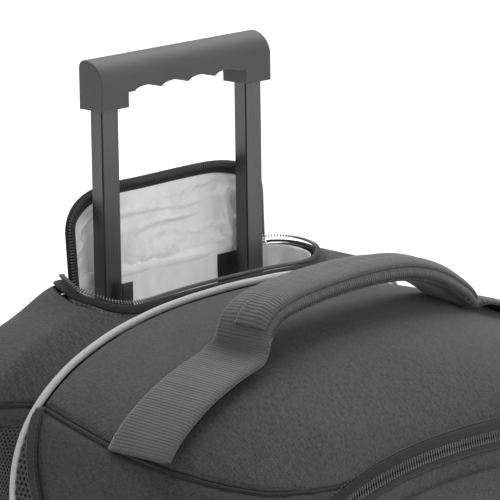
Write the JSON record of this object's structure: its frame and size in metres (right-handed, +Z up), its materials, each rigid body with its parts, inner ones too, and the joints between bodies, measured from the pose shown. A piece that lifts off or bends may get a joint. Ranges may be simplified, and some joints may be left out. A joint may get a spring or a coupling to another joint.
{
  "type": "wheeled bowling ball bag",
  "caption": "Upright wheeled bag for a pair of bowling balls, with a telescopic handle in a zipped top pocket, a webbing carry handle and an arched front door.",
  "frame": {"origin": "on the floor under the middle of the whole bag", "axes": "+X to the bag's right, -Y to its front, +Z up"},
  "size_m": [0.461, 0.315, 0.735],
  "materials": {
    "base_plastic": "moulded, fine texture",
    "black_plastic": "moulded, matte",
    "body_fabric": "heathered woven polyester, matte",
    "foam": "closed-cell foam, matte",
    "foot_rubber": "moulded rubber, matte",
    "grip_plastic": "fine textured, satin",
    "handle_aluminium": "dark anodised, satin",
    "liner_board": "sheet, matte",
    "lining": "thin satin lining, soft sheen",
    "mesh": "open knitted mesh, matte",
    "piping": "light woven piping, matte",
    "steel": "zinc plated",
    "webbing": "ribbed webbing, matte",
    "wheel_plastic": "moulded, satin",
    "wheel_tyre": "soft urethane, matte",
    "zipper_metal": "black lacquered, semi-gloss",
    "zipper_puller": "moulded cord puller",
    "zipper_tape": "zipper tape with coil teeth"
  },
  "bodies": {
    "bag": {"axle_bolt_left": "steel", "axle_bolt_right": "steel", "back_board": "liner_board", "back_panel": "body_fabric", "ball_cradle": "foam", "ball_divider": "foam", "base_tray": "base_plastic", "bracket_screws": "steel", "carry_handle": "webbing", "front_foot_left": "foot_rubber", "front_foot_right": "foot_rubber", "handle_pocket_liner": "lining", "main_zipper_body_tape": "zipper_tape", "main_zipper_slider": "zipper_metal", "mesh_pocket_left": "mesh", "mesh_pocket_right": "mesh", "outer_collar_left": "black_plastic", "outer_collar_right": "black_plastic", "outer_tube_left": "handle_aluminium", "outer_tube_right": "handle_aluminium", "piping": "piping", "pocket_zipper_slider": "zipper_metal", "pocket_zipper_tape": "zipper_tape", "rear_liner_board": "liner_board", "rear_top_panel": "body_fabric", "side_panel_left": "body_fabric", "side_panel_right": "body_fabric", "strap_patch_left": "webbing", "strap_patch_right": "webbing", "top_panel": "body_fabric", "tube_foot_bracket": "black_plastic", "wheel_housing_left": "base_plastic", "wheel_housing_right": "base_plastic"},
    "mid_stage": {"mid_bush_left": "black_plastic", "mid_bush_right": "black_plastic", "mid_collar_left": "black_plastic", "mid_collar_right": "black_plastic", "mid_tube_left": "handle_aluminium", "mid_tube_right": "handle_aluminium"},
    "top_stage": {"grip": "grip_plastic", "inner_bush_left": "black_plastic", "inner_bush_right": "black_plastic", "inner_tube_left": "handle_aluminium", "inner_tube_right": "handle_aluminium"},
    "pocket_flap": {"pocket_flap": "lining", "flap_zipper_tape": "zipper_tape"},
    "pocket_puller": {"pocket_zipper_puller": "zipper_puller"},
    "main_puller": {"main_zipper_puller": "zipper_puller"},
    "front_door": {"front_door": "body_fabric", "main_zipper_door_tape": "zipper_tape"},
    "wheel_left": {"wheel_rim_left": "wheel_plastic", "wheel_tyre_left": "wheel_tyre", "wheel_bearings_left": "steel"},
    "wheel_right": {"wheel_rim_right": "wheel_plastic", "wheel_tyre_right": "wheel_tyre", "wheel_bearings_right": "steel"}
  },
  "joints": [
    {"name": "mid_stage_slide", "type": "slide", "parent": "bag", "child": "mid_stage", "axis": [0, 0, 1], "range_m": [0, 0.245]},
    {"name": "top_stage_slide", "type": "slide", "parent": "mid_stage", "child": "top_stage", "axis": [0, 0, 1], "range_m": [-0.188, 0.057]},
    {"name": "pocket_flap_hinge", "type": "hinge", "parent": "bag", "child": "pocket_flap", "pos_m": [0, 0.143, 0.569], "axis": [-1, 0, 0], "range_deg": [-5, 100]},
    {"name": "pocket_puller_hinge", "type": "hinge", "parent": "bag", "child": "pocket_puller", "pos_m": [-0.12013, 0.126, 0.56661], "axis": [0, 1, 0], "range_deg": [0, 140]},
    {"name": "main_puller_hinge", "type": "hinge", "parent": "bag", "child": "main_puller", "pos_m": [0.20431, -0.14823, 0.132], "axis": [-0.7249, -0.6889, 0], "range_deg": [0, 120]},
    {"name": "front_door_hinge", "type": "hinge", "parent": "bag", "child": "front_door", "pos_m": [0, -0.154, 0.072], "axis": [1, 0, 0], "range_deg": [0, 95]},
    {"name": "left_wheel_axle", "type": "hinge", "parent": "bag", "child": "wheel_left", "pos_m": [-0.196, 0.106, 0.055], "axis": [1, 0, 0], "continuous": true},
    {"name": "right_wheel_axle", "type": "hinge", "parent": "bag", "child": "wheel_right", "pos_m": [0.196, 0.106, 0.055], "axis": [1, 0, 0], "continuous": true}
  ]
}
